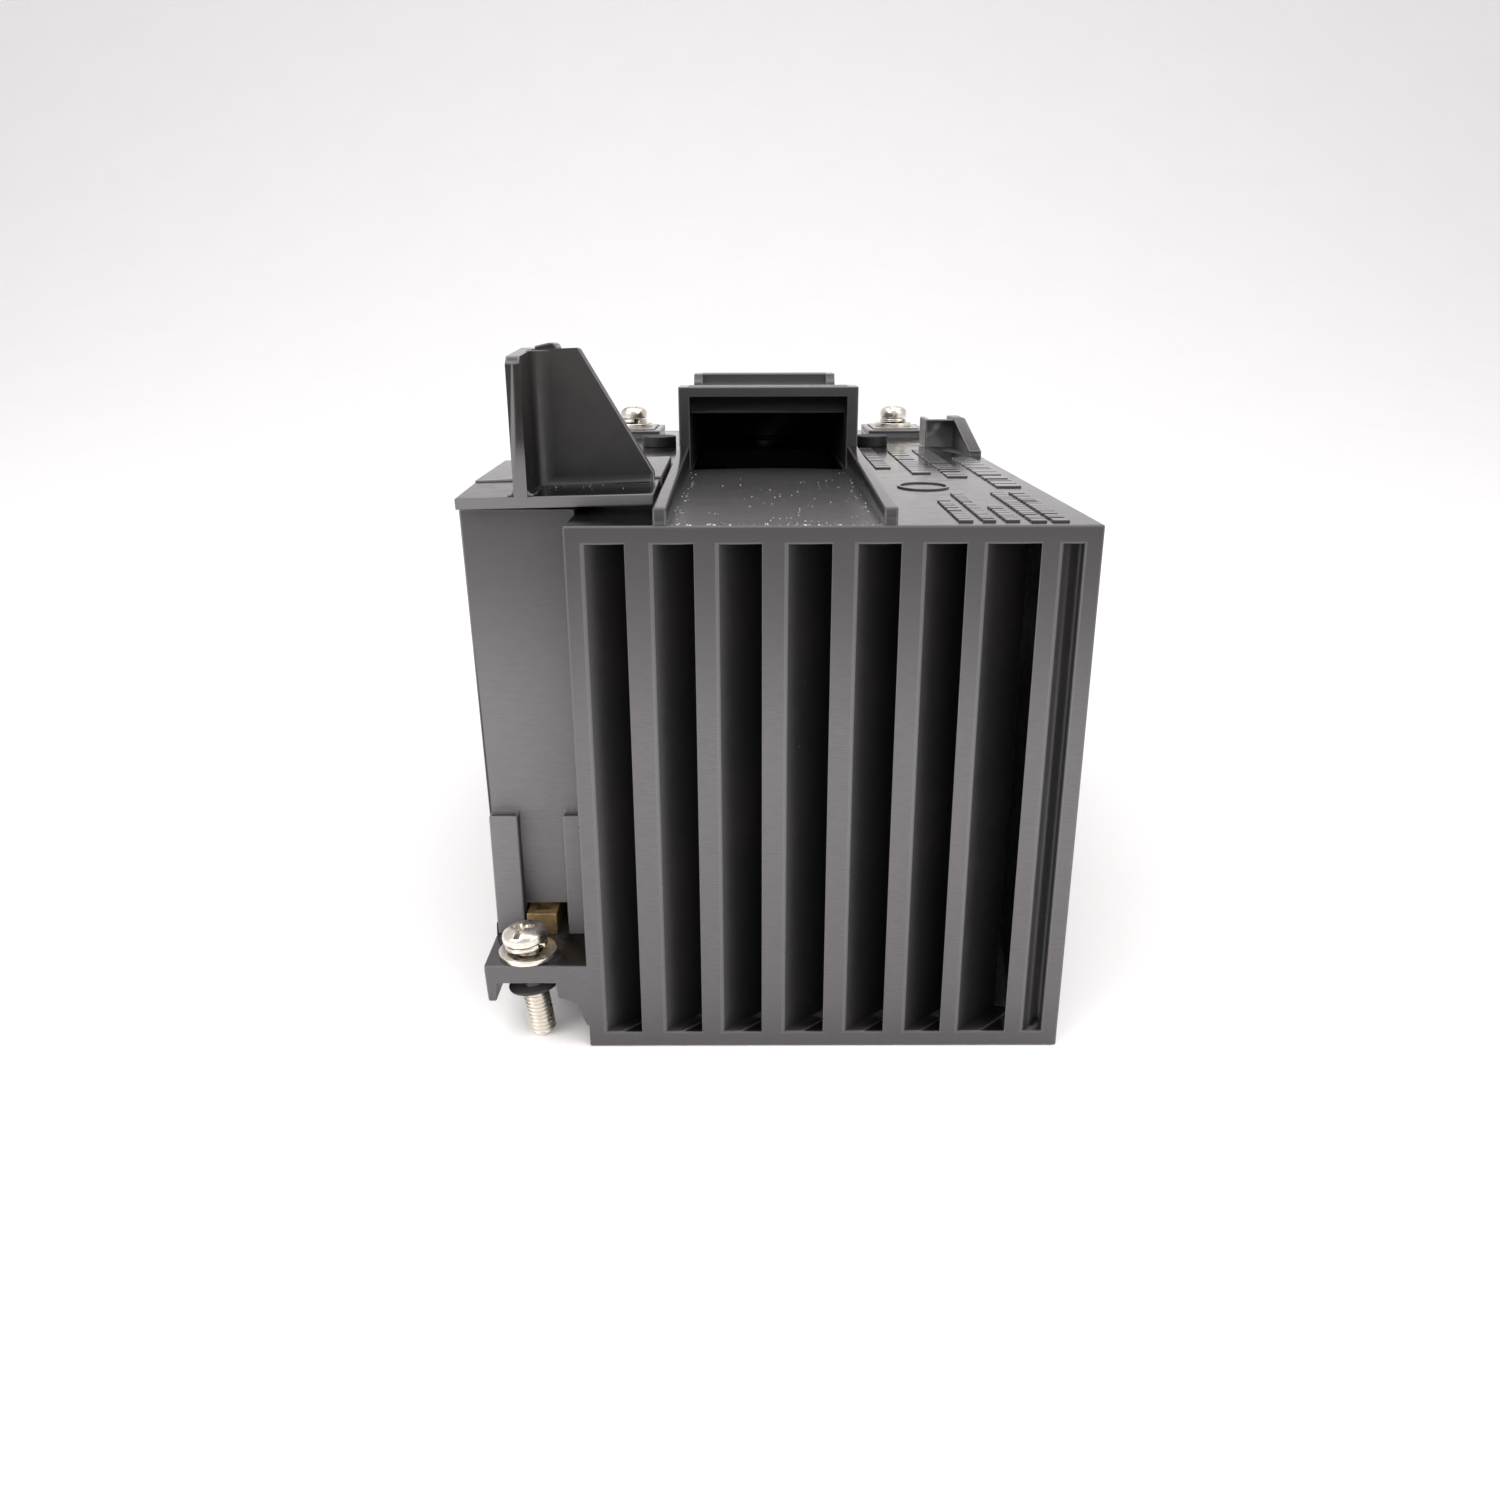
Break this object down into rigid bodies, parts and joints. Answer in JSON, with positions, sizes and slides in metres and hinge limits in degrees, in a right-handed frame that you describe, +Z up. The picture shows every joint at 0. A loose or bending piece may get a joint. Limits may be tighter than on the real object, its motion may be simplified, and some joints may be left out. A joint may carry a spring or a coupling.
{
  "type": "solid state relay",
  "caption": "Black moulded panel-mount solid state relay with a louvred front end, a capped side control module, a top air duct and rear screw terminals.",
  "frame": {"origin": "middle of the bounding box on the mounting plane, the flat underside of the housing", "axes": "+X to the right across the slotted end, +Y from the slotted end to the rear terminals, +Z up away from the mounting plane"},
  "size_m": [0.1062, 0.2004, 0.1232],
  "materials": {
    "black_moulding": "satin moulded thermoset with linished edges",
    "satin_moulding": "fine satin moulding",
    "nickel_steel": "bright nickel plate",
    "black_rubber": "soft black",
    "dull_brass": "dull, slightly tarnished",
    "copper": "plain copper",
    "tinned_copper": "copper, tin plated",
    "aluminium_plate": "mill finish",
    "aluminium_extrusion": "black anodised",
    "circuit_board": "green solder mask",
    "black_epoxy": "moulded epoxy",
    "yellow_tape": "taped winding",
    "resistor_body": "coated",
    "red_insulation": "soft insulation",
    "grey_pad": "matt",
    "white_ceramic": "fired alumina",
    "silicon": "polished",
    "blue_box": "box film capacitor",
    "blue_coating": "dipped coating"
  },
  "bodies": {
    "housing": {"main_housing": "black_moulding", "duct_hood": "black_moulding", "control_module_case": "satin_moulding", "rear_cover": "black_moulding", "rear_cover_screws": "nickel_steel", "base_plate": "aluminium_plate", "base_screws": "nickel_steel", "blanking_plugs": "black_rubber", "tie_screws": "nickel_steel", "control_contact_block": "dull_brass", "control_contact_blade": "dull_brass", "control_board": "circuit_board", "optocoupler": "black_epoxy", "drive_transformer": "yellow_tape", "input_resistors": "resistor_body", "gate_harness": "red_insulation", "heat_sink": "aluminium_extrusion", "thermal_pad": "grey_pad", "module_base": "copper", "module_screws": "nickel_steel", "ceramic_insulator": "white_ceramic", "copper_pads": "copper", "thyristor_chips": "silicon", "module_case": "black_epoxy", "module_lid": "black_epoxy", "line_busbar": "tinned_copper", "load_busbar": "tinned_copper", "terminal_nuts": "nickel_steel", "snubber_board": "circuit_board", "snubber_capacitors": "blue_box", "snubber_resistors": "resistor_body", "surge_varistor": "blue_coating", "board_spacers": "dull_brass", "board_screws": "nickel_steel"},
    "line_washers": {"line_spring_washer": "nickel_steel", "line_flat_washer": "nickel_steel"},
    "line_screw": {"line_terminal_screw": "nickel_steel"},
    "load_washers": {"load_spring_washer": "nickel_steel", "load_flat_washer": "nickel_steel"},
    "load_screw": {"load_terminal_screw": "nickel_steel"},
    "front_captive_washers": {"front_spring_washer": "nickel_steel", "front_flat_washer": "nickel_steel"},
    "front_captive": {"front_captive_screw": "nickel_steel", "front_retaining_washer": "black_rubber"},
    "rear_captive_washers": {"rear_spring_washer": "nickel_steel", "rear_flat_washer": "nickel_steel"},
    "rear_captive": {"rear_captive_screw": "nickel_steel", "rear_retaining_washer": "black_rubber"},
    "front_cap_cover": {"front_cap": "satin_moulding"},
    "rear_cap_cover": {"rear_cap": "satin_moulding"}
  },
  "joints": [
    {"name": "line_washer_lift", "type": "slide", "parent": "housing", "child": "line_washers", "axis": [0, 0, 1], "range_m": [0, 0.0021]},
    {"name": "line_screw_turn", "type": "hinge", "parent": "line_washers", "child": "line_screw", "pos_m": [-0.0375, 0.07418, 0.0982], "axis": [0, 0, 1], "range_deg": [0, 1081]},
    {"name": "load_washer_lift", "type": "slide", "parent": "housing", "child": "load_washers", "axis": [0, 0, 1], "range_m": [0, 0.0021]},
    {"name": "load_screw_turn", "type": "hinge", "parent": "load_washers", "child": "load_screw", "pos_m": [0.0389, 0.07418, 0.0982], "axis": [0, 0, 1], "range_deg": [0, 1081]},
    {"name": "front_captive_lift", "type": "slide", "parent": "housing", "child": "front_captive_washers", "axis": [-0.1132, 0, 0.9936], "range_m": [0, 0.0013]},
    {"name": "front_captive_turn", "type": "hinge", "parent": "front_captive_washers", "child": "front_captive", "pos_m": [-0.04445, -0.09483, 0.01675], "axis": [-0.1132, 0, 0.9936], "continuous": true},
    {"name": "rear_captive_lift", "type": "slide", "parent": "housing", "child": "rear_captive_washers", "axis": [0, 0, 1], "range_m": [0, 0.0013]},
    {"name": "rear_captive_turn", "type": "hinge", "parent": "rear_captive_washers", "child": "rear_captive", "pos_m": [0.037, 0.09458, 0.01675], "axis": [0, 0, 1], "continuous": true},
    {"name": "front_cap_lift", "type": "slide", "parent": "housing", "child": "front_cap_cover", "axis": [0, 0, 1], "range_m": [0, 0.03]},
    {"name": "rear_cap_lift", "type": "slide", "parent": "housing", "child": "rear_cap_cover", "axis": [0, 0, 1], "range_m": [0, 0.03]}
  ],
  "couplings": [
    {"joint": "line_screw_turn", "follows": "line_washer_lift", "rad_per_m": 8976},
    {"joint": "load_screw_turn", "follows": "load_washer_lift", "rad_per_m": 8976}
  ]
}
